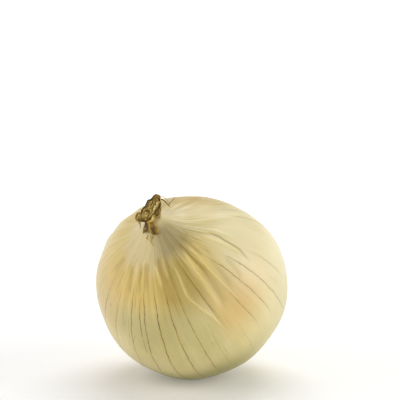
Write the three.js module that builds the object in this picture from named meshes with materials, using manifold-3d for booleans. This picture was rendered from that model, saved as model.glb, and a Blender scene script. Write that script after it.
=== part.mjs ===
// A whole onion, lying on the small flat spot under its weight with its neck leaning over.
// Millimetres, +Z up. The origin is the middle of the flat spot.
//
// Every piece is shaped in the onion's growth frame, whose z axis runs from the root plate through
// the middle of the bulb and out of the neck. A place on the skin is a colatitude (0 at the neck,
// 180 degrees at the root) and an azimuth round the growth axis. The group at the end leans it all.
import * as THREE from "three";
import { mergeVertices } from "three/addons/utils/BufferGeometryUtils.js";
import Module from "manifold-3d";

const wasm = await Module();
wasm.setup();

const degree = Math.PI / 180;

// How the onion lies: the growth axis leans from the vertical towards a heading from +X, and the
// middle of the bulb stands over the flat spot, a little off its centre.
const stance = { lean: 53.7, heading: 246.3, middle: new THREE.Vector3(-0.3, 1.9, 41.5) };

// The bulb is a spheroid, fuller on one shoulder, a little oval and a little three-sided.
const bulb = {
  radius: 44.5,
  tallness: 1.01,
  fullShoulder: { amount: 0.0525, azimuth: 254.3 },
  oval: { amount: 0.022, azimuth: 126.1 },
  threeSided: { amount: 0.0153, azimuth: 6 },
  ribs: { count: 9, height: 0.22, azimuth: 14 },
};
// The mesh is finest near the neck and the root, and round the azimuth where the pleats are. Its
// lines sweep sideways with the slanting pleats.
const mesh = {
  around: 120,
  rows: 40,
  poleCrowding: 0.09,
  pleatCrowding: 0.42,
  pleatAzimuth: -60,
  sweep: { turn: -10, azimuth: -38, width: 24, from: 17, to: 64 },
};
// What is cut from the dry pieces to keep them clear of the skin needs fewer faces round it.
const clearance = { height: 0.35, around: 40, rows: 40 };

// The neck is drawn out of the bulb and bends a little to one side. The base dips at the root plate.
const neck = { rise: 10.5, spread: 9, steepness: 1.5, bendX: 2.4, bendY: 1.6 };
const basin = { depth: 1.6, spread: 11 };

// Pleats of loose skin: each runs from a near azimuth by the neck to a far azimuth by the equator.
const pleats = [
  { near: -77, far: -69, start: 19, end: 72, height: 0.9, width: 1.5 },
  { near: -54, far: -65, start: 17, end: 62, height: 0.8, width: 2.1 },
  { near: -43, far: -53, start: 17, end: 63, height: 0.7, width: 2 },
  { near: -18, far: -29, start: 23, end: 56, height: 0.6, width: 1.9 },
  { near: -100, far: -96, start: 16, end: 48, height: 0.5, width: 1.5 },
  { near: -122, far: -121, start: 18, end: 56, height: 0.5, width: 1.6 },
  { near: -143, far: -138, start: 16, end: 54, height: 0.5, width: 1.7 },
];
// Fainter pleats go round the rest of the bulb by rule.
const faintPleats = { count: 15, from: 2, to: 200, height: 0.45, width: 1.9, seed: 41 };
// Fine gathers lie where the skin is drawn in to the neck.
const gathers = { count: 24, height: 0.85, middle: 18, spread: 9 };

// The withered top is pressed into a squarish oval, whose long side lies at an angle round the
// neck and whose rim rises towards one end. Below its mouth it narrows to the waist, the share of
// its length that is left where it comes out of the neck.
const tuft = {
  angle: 43,
  centreX: -0.2,
  centreY: 1.45,
  squareness: 2.8,
  tilt: 0.24,
  waist: { share: 0.4, height: -4.5, mouth: 2 },
};
const heart = { halfLength: 5.8, halfWidth: 2.3, halfHeight: 3.2, sink: 1.4, lumps: 0.1 };
// Each sheath is a crumpled wall with a ragged rim; heights are from the tip of the neck. The folds
// of all the walls run side by side, so none cuts through the next.
const sheaths = [
  { halfLength: 6.5, halfWidth: 3.1, foot: -6, rim: 3, flare: 0.6 },
  { halfLength: 5.1, halfWidth: 2, foot: -1.2, rim: 3.9, flare: 0.4 },
  { halfLength: 3.6, halfWidth: 0.9, foot: -1, rim: 3.2, flare: 0.2 },
];
const crumple = { thickness: 0.7, around: 30, rows: 3, folds: 7, depth: 0.09, ragged: 0.28 };
// The torn flap hangs on the shoulder of the neck and lifts at its edge. Each corner is given by
// how many degrees it lies from the growth axis, as x and y parts.
const flap = {
  topLeft: [-4.6, 0.2],
  topRight: [-0.4, -2.2],
  bottomLeft: [-6, -4.6],
  bottomRight: [2.2, -8.3],
  bow: 0.8,
  notch: { depth: 0.8, place: -0.35, width: 0.16 },
  scallops: { depth: 0.4, rate: 4 },
  lift: 0.9,
  curl: 1.3,
  thickness: 0.7,
};
// Curls and strands of dried sheath, as points measured from the tip of the neck.
const curls = [
  [[-3.8, -1.4, 0.8], [-6, -0.6, 1], [-7.2, 0.7, 0.2], [-7, 1.3, -1.4], [-6, 0.6, -2.2]],
  [[-3.4, -2, 0.6], [-5.8, -2, -0.2], [-7.1, -1.3, -1.4], [-7.4, -0.4, -3]],
  [[0.6, -0.4, 1.2], [1.6, -1.6, 1.4], [2.4, -2.2, 0.4], [2.2, -1.8, -0.8]],
  [[1.6, -0.2, 1.4], [2.8, -0.8, 2], [3.6, -0.6, 1], [3.4, 0, -0.4]],
  [[4, 4.4, 2.4], [4.9, 5.9, 3.7], [4.1, 6.8, 3.9], [3.2, 6, 3.2]],
];
const curlRadius = 0.48;
// One thin strand springs from the upper end of the tuft and hangs down its side.
const strand = {
  course: [[3.6, 4.2, 0.8], [4.9, 4.4, 3], [6, 4.1, 1.9], [6.5, 3.8, 0.1], [7.1, 3.2, -2.9]],
  radius: 0.42,
};
// Threads hang from the flap, each between two places on the skin.
const threads = [
  { nearAzimuth: -118, near: 6, farAzimuth: -122, far: 10.8 },
  { nearAzimuth: -106, near: 6, farAzimuth: -108, far: 11.6 },
  { nearAzimuth: -138, near: 5.6, farAzimuth: -149, far: 8.6 },
];
const thread = { radius: 0.32, steps: 4, wander: 2, lift: 0.9 };

// The root plate is a low corky dome with the short stubs of dried rootlets, placed by rule.
const rootPlate = { radius: 7.6, halfHeight: 2.1, sink: 0.5, lumps: 0.13 };
const rootlets = {
  count: 44,
  reach: 6.9,
  shortest: 2.4,
  longest: 4.6,
  radius: 0.62,
  tip: 0.38,
  sunk: 1.2,
  splay: 1.25,
  scatter: 0.35,
  bend: 1.8,
  seed: 7,
};

const finishes = {
  skin: { color: 0xdcc98c, roughness: 0.42, metalness: 0 },
  driedSheath: { color: 0x8a6f3c, roughness: 0.85, metalness: 0 },
  driedRoot: { color: 0xa98c5e, roughness: 0.9, metalness: 0 },
};

const bulbTop = bulb.radius * bulb.tallness;
const neckTip = new THREE.Vector3(neck.bendX, neck.bendY, bulbTop + neck.rise);

const hinge = new THREE.Vector3(0, 0, 1).cross(
  new THREE.Vector3(Math.cos(stance.heading * degree), Math.sin(stance.heading * degree), 0),
);
const leaning = new THREE.Quaternion().setFromAxisAngle(hinge, stance.lean * degree);
const upInGrowth = new THREE.Vector3(0, 0, 1).applyQuaternion(leaning.clone().invert());

// A repeatable draw from 0 to 1.
function drawer(seed) {
  let state = seed;
  return () => {
    state = (state * 1664525 + 1013904223) % 4294967296;
    return state / 4294967296;
  };
}

function mix(a, b, t) {
  return a + (b - a) * t;
}

// The angle as a turn of at most half a circle either way.
function wrapped(angle) {
  return Math.atan2(Math.sin(angle), Math.cos(angle));
}

// A hump of height 1 that dies away on both sides of 0.
function hump(x) {
  return Math.exp(-x * x);
}

// The smooth bulb with its neck and basin, before any relief.
function smoothSkin(colatitude, azimuth) {
  const { fullShoulder, oval, threeSided } = bulb;
  const sine = Math.sin(colatitude);
  const across = bulb.radius * sine;
  const fuller = Math.sin(2 * colatitude) * Math.cos(azimuth - fullShoulder.azimuth * degree);
  const wider = sine ** 2 * Math.cos(2 * (azimuth - oval.azimuth * degree));
  const sided = sine ** 3 * Math.cos(3 * (azimuth - threeSided.azimuth * degree));
  const scale = 1 + fullShoulder.amount * fuller + oval.amount * wider + threeSided.amount * sided;
  const along = bulbTop * Math.cos(colatitude);
  const point = new THREE.Vector3(Math.cos(azimuth) * across, Math.sin(azimuth) * across, along);
  point.multiplyScalar(scale);
  if (colatitude < Math.PI / 2) {
    const drawn = Math.exp(-((across / neck.spread) ** neck.steepness));
    point.add(new THREE.Vector3(neck.bendX, neck.bendY, neck.rise).multiplyScalar(drawn));
  } else {
    point.z += basin.depth * hump(across / basin.spread);
  }
  return point;
}

// The outward direction of the smooth bulb.
function skinNormal(colatitude, azimuth) {
  const step = 0.002;
  const inside = THREE.MathUtils.clamp(colatitude, step * 2, Math.PI - step * 2);
  if (inside !== colatitude) return new THREE.Vector3(0, 0, Math.sign(Math.PI / 2 - colatitude));
  const down = smoothSkin(inside + step, azimuth).sub(smoothSkin(inside - step, azimuth));
  const round = smoothSkin(inside, azimuth + step).sub(smoothSkin(inside, azimuth - step));
  return down.cross(round).normalize();
}

// A pleat is a narrow crest with a shallow trough on each side, strongest midway along its run.
function pleatRelief(pleat, colatitude, azimuth) {
  const along = (colatitude / degree - pleat.start) / (pleat.end - pleat.start);
  if (along <= 0 || along >= 1) return 0;
  const bearing = mix(pleat.near, pleat.far, along) * degree;
  const off = (wrapped(azimuth - bearing) * bulb.radius * Math.sin(colatitude)) / pleat.width;
  const trough = hump((Math.abs(off) - 2.3) / 1.3);
  return pleat.height * Math.sin(Math.PI * along) ** 0.7 * (hump(off) - 0.5 * trough);
}

function faintPleatList() {
  const draw = drawer(faintPleats.seed);
  const list = [];
  for (let i = 0; i < faintPleats.count; i += 1) {
    const near = mix(faintPleats.from, faintPleats.to, (i + 0.3 + 0.4 * draw()) / faintPleats.count);
    list.push({
      near,
      far: near + mix(-6, 6, draw()),
      start: mix(14, 22, draw()),
      end: mix(44, 78, draw()),
      height: faintPleats.height * mix(0.5, 1, draw()),
      width: faintPleats.width * mix(0.8, 1.2, draw()),
    });
  }
  return list;
}

const allPleats = [...pleats, ...faintPleatList()];

function skinRelief(colatitude, azimuth) {
  const { count, height, azimuth: first } = bulb.ribs;
  const ribs = height * Math.sin(colatitude) ** 2 * Math.cos(count * (azimuth - first * degree));
  const nearNeck = hump((colatitude / degree - gathers.middle) / gathers.spread) * Math.sin(colatitude);
  const gathered = gathers.height * nearNeck * Math.sin(gathers.count * azimuth);
  return allPleats.reduce((sum, pleat) => sum + pleatRelief(pleat, colatitude, azimuth), ribs + gathered);
}

// A point on the finished skin, or a given height above it.
function skinPoint(colatitude, azimuth, height = 0) {
  const lift = skinRelief(colatitude, azimuth) + height;
  return smoothSkin(colatitude, azimuth).addScaledVector(skinNormal(colatitude, azimuth), lift);
}

// What would pass below the surface that the onion lies on is pressed flat against it.
function pressFlat(point) {
  const height = point.dot(upInGrowth) + stance.middle.z;
  return height < 0 ? point.addScaledVector(upInGrowth, -height) : point;
}

// Moves every vertex of a geometry by a rule that gives its new place.
function shaped(geometry, rule) {
  const place = geometry.getAttribute("position");
  const uv = geometry.getAttribute("uv");
  const point = new THREE.Vector3();
  for (let i = 0; i < place.count; i += 1) {
    point.fromBufferAttribute(place, i);
    const moved = rule(point, uv ? uv.getX(i) : 0, uv ? uv.getY(i) : 0);
    place.setXYZ(i, moved.x, moved.y, moved.z);
  }
  return geometry;
}

function solidOf(geometry) {
  const bare = geometry.clone();
  bare.deleteAttribute("normal");
  bare.deleteAttribute("uv");
  const merged = mergeVertices(bare, 1e-4);
  return new wasm.Manifold(
    new wasm.Mesh({
      numProp: 3,
      vertProperties: new Float32Array(merged.getAttribute("position").array),
      triVerts: new Uint32Array(merged.getIndex().array),
    }),
  );
}

// The largest body of a solid, without the scraps that a cut leaves.
function largestBody(solid) {
  return solid.decompose().reduce((best, body) => (body.volume() > best.volume() ? body : best));
}

function namedMesh(name, solid, finish) {
  const { numProp, vertProperties, triVerts } = solid.getMesh();
  const place = new Float32Array((vertProperties.length / numProp) * 3);
  for (let i = 0; i < place.length / 3; i += 1) {
    place.set(vertProperties.subarray(i * numProp, i * numProp + 3), i * 3);
  }
  const geometry = new THREE.BufferGeometry();
  geometry.setAttribute("position", new THREE.BufferAttribute(place, 3));
  geometry.setIndex(new THREE.BufferAttribute(triVerts, 1));
  geometry.computeVertexNormals();
  const named = new THREE.Mesh(geometry, new THREE.MeshStandardMaterial(finish));
  named.name = name;
  return named;
}

// The bulb's closed surface, at a height above the skin.
function bulbSolid({ height, around, rows }) {
  const ball = new THREE.SphereGeometry(1, around, rows);
  const crowded = mesh.pleatAzimuth * degree;
  const { sweep } = mesh;
  return solidOf(
    shaped(ball, (point, turn, rootwards) => {
      const share = 1 - rootwards;
      const colatitude = Math.PI * (share - mesh.poleCrowding * Math.sin(2 * Math.PI * share));
      const even = 2 * Math.PI * turn;
      const gathered = even - mesh.pleatCrowding * Math.sin(even - crowded);
      const off = wrapped(gathered - sweep.azimuth * degree) / (sweep.width * degree);
      const slant = hump(off) * THREE.MathUtils.smoothstep(colatitude / degree, sweep.from, sweep.to);
      const azimuth = gathered + sweep.turn * degree * slant;
      return pressFlat(skinPoint(colatitude, azimuth, height));
    }),
  );
}

// A place in the tuft's own oval, narrowed below the mouth, turned and set on the tip of the neck.
function tuftPoint(long, short, height) {
  const cosine = Math.cos(tuft.angle * degree);
  const sine = Math.sin(tuft.angle * degree);
  const { waist } = tuft;
  const share = mix(waist.share, 1, THREE.MathUtils.smoothstep(height, waist.height, waist.mouth));
  const along = long * share;
  const across = (short * (1 + share)) / 2;
  return new THREE.Vector3(
    neckTip.x + tuft.centreX * share + along * cosine - across * sine,
    neckTip.y + tuft.centreY * share + along * sine + across * cosine,
    neckTip.z + height,
  );
}

// The solid middle of the tuft, a lumpy oval dome.
function heartSolid() {
  return solidOf(
    shaped(new THREE.SphereGeometry(1, 16, 8), ({ x, y, z }) => {
      const lump = 1 + heart.lumps * Math.sin(5 * x + 3 * z) * Math.cos(4 * z - 2 * y);
      const height = y * heart.halfHeight * lump - heart.sink;
      return tuftPoint(x * heart.halfLength * lump, -z * heart.halfWidth * lump, height);
    }),
  );
}

// One sheath: a closed wall round an oval, crumpled more towards its ragged rim.
function sheathSolid(sheath, index) {
  const outerSide = 2;
  const innerSide = 1;
  const section = [];
  for (let row = 0; row <= crumple.rows; row += 1) {
    section.push(new THREE.Vector2(outerSide, row / crumple.rows));
  }
  for (let row = crumple.rows; row >= 0; row -= 1) {
    section.push(new THREE.Vector2(innerSide, row / crumple.rows));
  }
  section.push(section[0].clone());
  return solidOf(
    shaped(new THREE.LatheGeometry(section, crumple.around), ({ x, y, z }) => {
      const turn = Math.atan2(z, x);
      const long = Math.abs(Math.cos(turn) / sheath.halfLength) ** tuft.squareness;
      const short = Math.abs(Math.sin(turn) / sheath.halfWidth) ** tuft.squareness;
      const oval = (long + short) ** (-1 / tuft.squareness);
      const fold = crumple.depth * y * Math.sin(crumple.folds * turn + 0.4);
      const wall = Math.hypot(x, z) > (outerSide + innerSide) / 2 ? 0 : crumple.thickness;
      const reach = oval * (1 + fold) + sheath.flare * y ** 2 - wall;
      const tear = Math.sin(3 * turn + 2 * index) * Math.cos(8 * turn + index);
      const along = reach * Math.cos(turn);
      const rim = sheath.rim * (1 + crumple.ragged * tear) + tuft.tilt * along;
      return tuftPoint(along, -reach * Math.sin(turn), mix(sheath.foot, rim, y));
    }),
  );
}

// The torn flap: a blade laid over the shoulder, its lower edge bowed, notched and lifting.
function flapSolid() {
  const { topLeft, topRight, bottomLeft, bottomRight } = flap;
  const blade = new THREE.BoxGeometry(2, 1, 1, 10, 5, 1);
  return solidOf(
    shaped(blade, ({ x, y, z }) => {
      const down = 0.5 - y;
      const across = (x + 1) / 2;
      const [east, north] = [0, 1].map((axis) => {
        const upper = mix(topLeft[axis], topRight[axis], across);
        return mix(upper, mix(bottomLeft[axis], bottomRight[axis], across), down);
      });
      const notch = flap.notch.depth * hump((x - flap.notch.place) / flap.notch.width);
      const scallop = flap.scallops.depth * Math.abs(Math.sin(flap.scallops.rate * x));
      const further = down * (flap.bow * (1 - x * x) - notch - scallop);
      const azimuth = Math.atan2(north, east);
      const colatitude = (Math.hypot(east, north) + further) * degree;
      const lift = 0.3 + flap.lift * down ** 2 + flap.curl * down * Math.max(0, x - 0.3) ** 2;
      return smoothSkin(colatitude, azimuth).addScaledVector(
        skinNormal(colatitude, azimuth),
        lift + flap.thickness * (z + 0.5),
      );
    }),
  );
}

// A round strand along a curve.
function strandSolid(points, radius) {
  const sides = 5;
  const corners = [];
  for (let i = 0; i < sides; i += 1) {
    const turn = (2 * Math.PI * i) / sides;
    corners.push(new THREE.Vector2(radius * Math.cos(turn), radius * Math.sin(turn)));
  }
  const extrudePath = new THREE.CatmullRomCurve3(points);
  const along = { steps: 2 * (points.length - 1), bevelEnabled: false, extrudePath };
  return solidOf(new THREE.ExtrudeGeometry(new THREE.Shape(corners), along));
}

function looseSolid(path, radius) {
  return strandSolid(
    path.map((place) => new THREE.Vector3(...place).add(neckTip)),
    radius,
  );
}

function threadSolid({ nearAzimuth, near, farAzimuth, far }) {
  const points = [];
  for (let i = 0; i <= thread.steps; i += 1) {
    const azimuth = mix(nearAzimuth, farAzimuth, i / thread.steps) + thread.wander * Math.sin(3 * i);
    const colatitude = mix(near, far, i / thread.steps);
    points.push(skinPoint(colatitude * degree, azimuth * degree, thread.lift));
  }
  return strandSolid(points, thread.radius);
}

function dryNeckSolid() {
  const pieces = [
    heartSolid(),
    ...sheaths.map(sheathSolid),
    flapSolid(),
    ...curls.map((path) => looseSolid(path, curlRadius)),
    looseSolid(strand.course, strand.radius),
    ...threads.map(threadSolid),
  ];
  const joined = pieces.reduce((sum, piece) => sum.add(piece));
  return largestBody(joined.subtract(bulbSolid(clearance)));
}

// The height of the root plate's middle.
const plateHeight = basin.depth - bulbTop - rootPlate.sink;

// A rootlet: a tapering, bent, four-sided rod that starts inside the plate.
function rootletSolid(draw) {
  const bearing = 2 * Math.PI * draw();
  const out = rootlets.reach * Math.sqrt(draw());
  const length = mix(rootlets.shortest, rootlets.longest, draw());
  const splay = (rootlets.splay * out) / rootlets.reach + rootlets.scatter * (2 * draw() - 1);
  const bend = mix(-rootlets.bend, rootlets.bend, draw());
  const fall = rootPlate.halfHeight * Math.sqrt(1 - (out / rootPlate.radius) ** 2);
  const outwards = new THREE.Vector3(Math.cos(bearing), Math.sin(bearing), 0);
  const sideways = new THREE.Vector3(-Math.sin(bearing), Math.cos(bearing), 0);
  const base = outwards.clone().multiplyScalar(out).setZ(plateHeight - fall);
  const away = outwards.multiplyScalar(Math.sin(splay)).setZ(-Math.cos(splay));
  const third = away.clone().cross(sideways);
  const rod = new THREE.CylinderGeometry(rootlets.tip, rootlets.radius, length, 4, 3);
  rod.translate(0, length / 2 - rootlets.sunk, 0);
  return solidOf(
    shaped(rod, ({ x, y, z }) => {
      const curve = bend * (Math.max(0, y) / rootlets.longest) ** 2;
      const point = base.clone().addScaledVector(away, y);
      return point.addScaledVector(sideways, x + curve).addScaledVector(third, -z);
    }),
  );
}

function rootTuftSolid() {
  const draw = drawer(rootlets.seed);
  const plate = shaped(new THREE.SphereGeometry(1, 24, 10), ({ x, y, z }) => {
    const lump = 1 + rootPlate.lumps * Math.sin(6 * x + 1) * Math.cos(5 * z);
    const height = plateHeight + y * rootPlate.halfHeight * lump;
    return new THREE.Vector3(x * rootPlate.radius * lump, -z * rootPlate.radius * lump, height);
  });
  let joined = solidOf(plate);
  for (let i = 0; i < rootlets.count; i += 1) joined = joined.add(rootletSolid(draw));
  return largestBody(joined.subtract(bulbSolid(clearance)));
}

const growth = new THREE.Group();
growth.quaternion.copy(leaning);
growth.position.copy(stance.middle);
growth.add(namedMesh("bulb", bulbSolid({ height: 0, ...mesh }), finishes.skin));
growth.add(namedMesh("dry_neck", dryNeckSolid(), finishes.driedSheath));
growth.add(namedMesh("root_tuft", rootTuftSolid(), finishes.driedRoot));

const onion = new THREE.Group();
onion.add(growth);

export default onion;
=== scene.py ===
import math
import random
from functools import partial

import bmesh
import bpy
import numpy as np
from mathutils import Matrix, Vector, noise


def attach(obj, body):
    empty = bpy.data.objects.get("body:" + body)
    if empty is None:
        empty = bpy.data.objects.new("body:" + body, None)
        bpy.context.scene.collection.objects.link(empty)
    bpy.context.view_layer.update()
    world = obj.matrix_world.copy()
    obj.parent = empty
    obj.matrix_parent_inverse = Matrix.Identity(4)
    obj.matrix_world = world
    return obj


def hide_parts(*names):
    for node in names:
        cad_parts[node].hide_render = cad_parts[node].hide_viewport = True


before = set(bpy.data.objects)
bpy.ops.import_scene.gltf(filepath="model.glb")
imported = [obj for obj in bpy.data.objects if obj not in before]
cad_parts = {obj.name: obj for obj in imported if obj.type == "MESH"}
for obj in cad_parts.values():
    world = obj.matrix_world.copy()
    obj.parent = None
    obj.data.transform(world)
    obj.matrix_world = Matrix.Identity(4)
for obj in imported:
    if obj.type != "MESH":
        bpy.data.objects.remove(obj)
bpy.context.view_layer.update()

millimetre = 0.001
degree = math.pi / 180

# How the onion lies: its growth axis leans from the vertical towards a heading, and its middle, in
# millimetres, stands over the flat spot.
stance = {"lean": 53.7, "heading": 246.3, "middle": (-0.3, 1.9, 41.5)}

# The bulb's form in millimetres and degrees, with the values of its solid. The uneven parts are an
# amount and an azimuth. Faint pleats go round by rule, and gathers lie where the skin is drawn in to
# the neck. A crease is a course of azimuths and colatitudes, how far it stands out, its half width,
# and its paint: above 0 a painted highlight along it, below 0 painted shade with the folds' deeper colour.
bulbForm = {
    "radius": 44.5,
    "tallness": 1.01,
    "fullShoulder": (0.0525, 254.3),
    "oval": (0.022, 126.1),
    "threeSided": (0.0153, 6.0),
    "neckRise": 10.5,
    "neckSpread": 9.0,
    "neckSteepness": 1.5,
    "neckBend": (2.4, 1.6),
    "basinDepth": 1.6,
    "basinSpread": 11.0,
    "ribs": {"count": 9, "height": 0.22, "azimuth": 14},
    "faintPleats": {"count": 15, "from": 2, "to": 200, "height": 0.45, "width": 1.9, "seed": 41},
    "gathers": {"counts": (24, 61, 7), "height": 0.85, "middle": 18, "spread": 9},
    "calmGathers": {"azimuth": 25, "reach": 38, "share": 0.55},
    "rootRing": {"counts": (37, 23), "height": 0.2, "middle": 167, "spread": 6},
    "mesh": {"around": 420, "rows": 234, "poleCrowding": 0.06, "pleatCrowding": 0.3, "pleatAzimuth": -60},
    "creases": [
        ([(-76, 19), (-76, 26), (-78, 36), (-78, 40), (-74, 48), (-70, 58), (-69, 72)], 0.75, 0.42, 0.75),
        ([(-76, 19), (-76, 26), (-78, 36), (-78, 40), (-74, 48), (-70, 58), (-69, 68)], 0.5, 1.8, 0.1),
        ([(-50, 17), (-58, 27), (-61, 38), (-63, 45), (-64, 57)], 0.8, 1.4, 0.45),
        ([(-50, 17), (-58, 27), (-61, 38), (-63, 45), (-64, 57)], 0.6, 0.38, 1.0),
        ([(-42, 17), (-47, 26), (-50, 36), (-51, 42), (-52, 52), (-52, 60)], 0.75, 0.42, 0.95),
        ([(-42, 17), (-47, 26), (-50, 36), (-51, 42), (-52, 52), (-52, 60)], 0.4, 1.6, 0.1),
        ([(-26, 17), (-31, 24), (-34, 31)], 0.35, 0.8, 0.5),
        ([(-18, 23), (-21, 29), (-22, 38), (-25, 47), (-29, 53)], 0.4, 1.1, 0.45),
        ([(-12, 26), (-14, 34), (-17, 38), (-20, 46), (-23, 50), (-26, 56)], -0.5, 0.5, -0.9),
        ([(-8, 28), (-10, 36), (-13, 42), (-17, 49), (-20, 55)], 0.25, 0.9, 0.3),
        ([(-87, 15), (-84, 23), (-84, 28), (-83, 38)], -0.35, 0.8, -0.8),
        ([(-48, 12), (-51, 20), (-52, 29), (-53, 35), (-55, 41)], -0.5, 0.8, -0.9),
        ([(-52, 28), (-55, 37), (-57, 44), (-59, 50), (-61, 60)], -0.45, 1.7, -0.5),
        ([(-70, 17), (-69, 26), (-69, 45), (-68, 59), (-69, 70)], -0.4, 0.6, -0.5),
        ([(-73, 20), (-73, 30), (-73, 44)], -0.2, 1.6, -0.4),
        ([(-64, 22), (-66, 36), (-67, 50)], -0.15, 1.3, -0.12),
        ([(-36, 12), (-38, 19), (-41, 25), (-43, 31)], -0.4, 0.6, -0.8),
        ([(-23, 13), (-26, 19), (-29, 22), (-34, 28), (-38, 36)], -0.35, 0.8, -0.5),
        ([(-41, 31), (-45, 40), (-48, 47), (-51, 54)], -0.35, 1.4, -0.35),
        ([(-33, 39), (-36, 46), (-40, 55)], -0.2, 1.3, -0.35),
        ([(-94, 16), (-94, 22), (-94, 30)], -0.3, 1.2, -0.9),
        ([(-92, 24), (-91, 34), (-91, 43)], -0.25, 2.4, -0.6),
        ([(-116, 18), (-114, 25), (-112, 34)], -0.25, 1.2, -0.6),
        ([(-125, 19), (-122, 27), (-120, 36)], -0.25, 0.8, -0.6),
        ([(-141, 21), (-135, 29), (-131, 37)], -0.25, 1.1, -0.55),
        ([(-161, 21), (-163, 26), (-163, 33)], -0.15, 1.6, -0.4),
        ([(-122, 17), (-119, 25), (-118, 38)], 0.35, 0.6, 0.6),
        ([(-102, 19), (-98, 26), (-97, 33)], 0.4, 0.6, 0.75),
        ([(-107, 16), (-109, 25), (-110, 38)], 0.3, 0.6, 0.4),
        ([(-129, 19), (-128, 29), (-127, 40)], 0.3, 0.7, 0.4),
        ([(-149, 20), (-145, 27), (-141, 37)], 0.3, 1.0, 0.4),
        ([(-89, 16), (-88, 22), (-88, 30)], 0.3, 0.7, 0.3),
    ],
}


# A repeatable draw from 0 to 1, the same as the solid's.
def drawer(seed):
    state = [seed]

    def draw():
        state[0] = (state[0] * 1664525 + 1013904223) % 4294967296
        return state[0] / 4294967296

    return draw


def blendTo(a, b, t):
    return a + (b - a) * t


# An angle as less than half a turn to either side.
def wrapped(angle):
    return np.arctan2(np.sin(angle), np.cos(angle))


# 0 at low, 1 at high, eased between; low may be the larger.
def ease(x, low, high):
    t = np.clip((x - low) / (high - low), 0, 1)
    return t * t * (3 - 2 * t)


# A smooth course through some points, at shares of its length.
def courseThrough(points, shares):
    points = np.asarray(points, float)
    padded = np.vstack([2 * points[0] - points[1], points, 2 * points[-1] - points[-2]])
    spot = np.clip(shares, 0, 1) * (len(points) - 1)
    i = np.minimum(spot.astype(int), len(points) - 2)
    t = (spot - i)[:, None]
    a, b, c, d = padded[i], padded[i + 1], padded[i + 2], padded[i + 3]
    return 0.5 * (2 * b + (c - a) * t + (2 * a - 5 * b + 4 * c - d) * t**2 + (3 * b - a - 3 * c + d) * t**3)


def hump(x):
    return np.exp(-x * x)


# The smooth bulb in its growth frame, before any relief; angles in radians, lengths in millimetres.
def smoothSkin(colatitude, azimuth):
    form = bulbForm
    fuller, fullSide = form["fullShoulder"]
    wider, wideSide = form["oval"]
    sided, firstSide = form["threeSided"]
    sine = np.sin(colatitude)
    across = form["radius"] * sine
    scale = (
        1
        + fuller * np.sin(2 * colatitude) * np.cos(azimuth - fullSide * degree)
        + wider * sine**2 * np.cos(2 * (azimuth - wideSide * degree))
        + sided * sine**3 * np.cos(3 * (azimuth - firstSide * degree))
    )
    x = np.cos(azimuth) * across * scale
    y = np.sin(azimuth) * across * scale
    z = form["radius"] * form["tallness"] * np.cos(colatitude) * scale
    spread = np.abs(across) / form["neckSpread"]
    drawn = np.where(colatitude < math.pi / 2, np.exp(-(spread ** form["neckSteepness"])), 0)
    dipped = np.where(colatitude < math.pi / 2, 0, hump(across / form["basinSpread"]))
    x = x + form["neckBend"][0] * drawn
    y = y + form["neckBend"][1] * drawn
    z = z + form["neckRise"] * drawn + form["basinDepth"] * dipped
    return np.stack([x, y, z], axis=-1)


# The outward direction of the smooth bulb, which at a pole is the growth axis.
def skinNormal(colatitude, azimuth):
    step = 0.002
    inside = np.clip(colatitude, 2 * step, math.pi - 2 * step)
    down = smoothSkin(inside + step, azimuth) - smoothSkin(inside - step, azimuth)
    around = smoothSkin(inside, azimuth + step) - smoothSkin(inside, azimuth - step)
    normal = np.cross(down, around)
    normal /= np.linalg.norm(normal, axis=-1, keepdims=True)
    pole = (inside != colatitude)[..., None]
    axis = np.stack([0 * colatitude, 0 * colatitude, np.sign(math.pi / 2 - colatitude)], axis=-1)
    return np.where(pole, axis, normal)


# A place over the smooth bulb, or in it, by its height.
def skinPlace(colatitude, azimuth, height):
    return smoothSkin(colatitude, azimuth) + skinNormal(colatitude, azimuth) * height[:, None]


# Each faint pleat: azimuth by the neck, azimuth far down, first and last colatitude, height, half width.
def faintPleats():
    rule = bulbForm["faintPleats"]
    draw = drawer(rule["seed"])
    made = []
    for i in range(rule["count"]):
        share = (i + 0.3 + 0.4 * draw()) / rule["count"]
        near = blendTo(rule["from"], rule["to"], share)
        far = near + blendTo(-6, 6, draw())
        start = blendTo(14, 22, draw())
        end = blendTo(44, 78, draw())
        height = rule["height"] * blendTo(0.5, 1, draw())
        width = rule["width"] * blendTo(0.8, 1.2, draw())
        made.append((near, far, start, end, height, width))
    return made


# A pleat is a narrow crest with a shallow trough on each side, strongest midway along its run.
def pleatRelief(pleat, colatitude, azimuth):
    near, far, start, end, height, width = pleat
    along = (colatitude / degree - start) / (end - start)
    inside = np.clip(along, 0, 1)
    bearing = blendTo(near, far, inside) * degree
    off = wrapped(azimuth - bearing) * bulbForm["radius"] * np.sin(colatitude) / width
    trough = hump((np.abs(off) - 2.3) / 1.3)
    run = np.sin(math.pi * inside) ** 0.7
    return np.where(run > 1e-3, height * run * (hump(off) - 0.5 * trough), 0)


# How strongly a crease shows at each place, from 0 to 1; it tapers at both ends.
def creaseTrace(course, width, colatitude, azimuth):
    dense = courseThrough(course, np.linspace(0, 1, 80))
    latitude = colatitude / degree
    bearing = np.interp(latitude, dense[:, 1], dense[:, 0]) * degree
    off = wrapped(azimuth - bearing) * bulbForm["radius"] * np.sin(colatitude) / width
    inside = (latitude - course[0][1]) / (course[-1][1] - course[0][1])
    run = ease(inside, 0.0, 0.22) * ease(inside, 1.0, 0.7)
    return run * hump(off)
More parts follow.
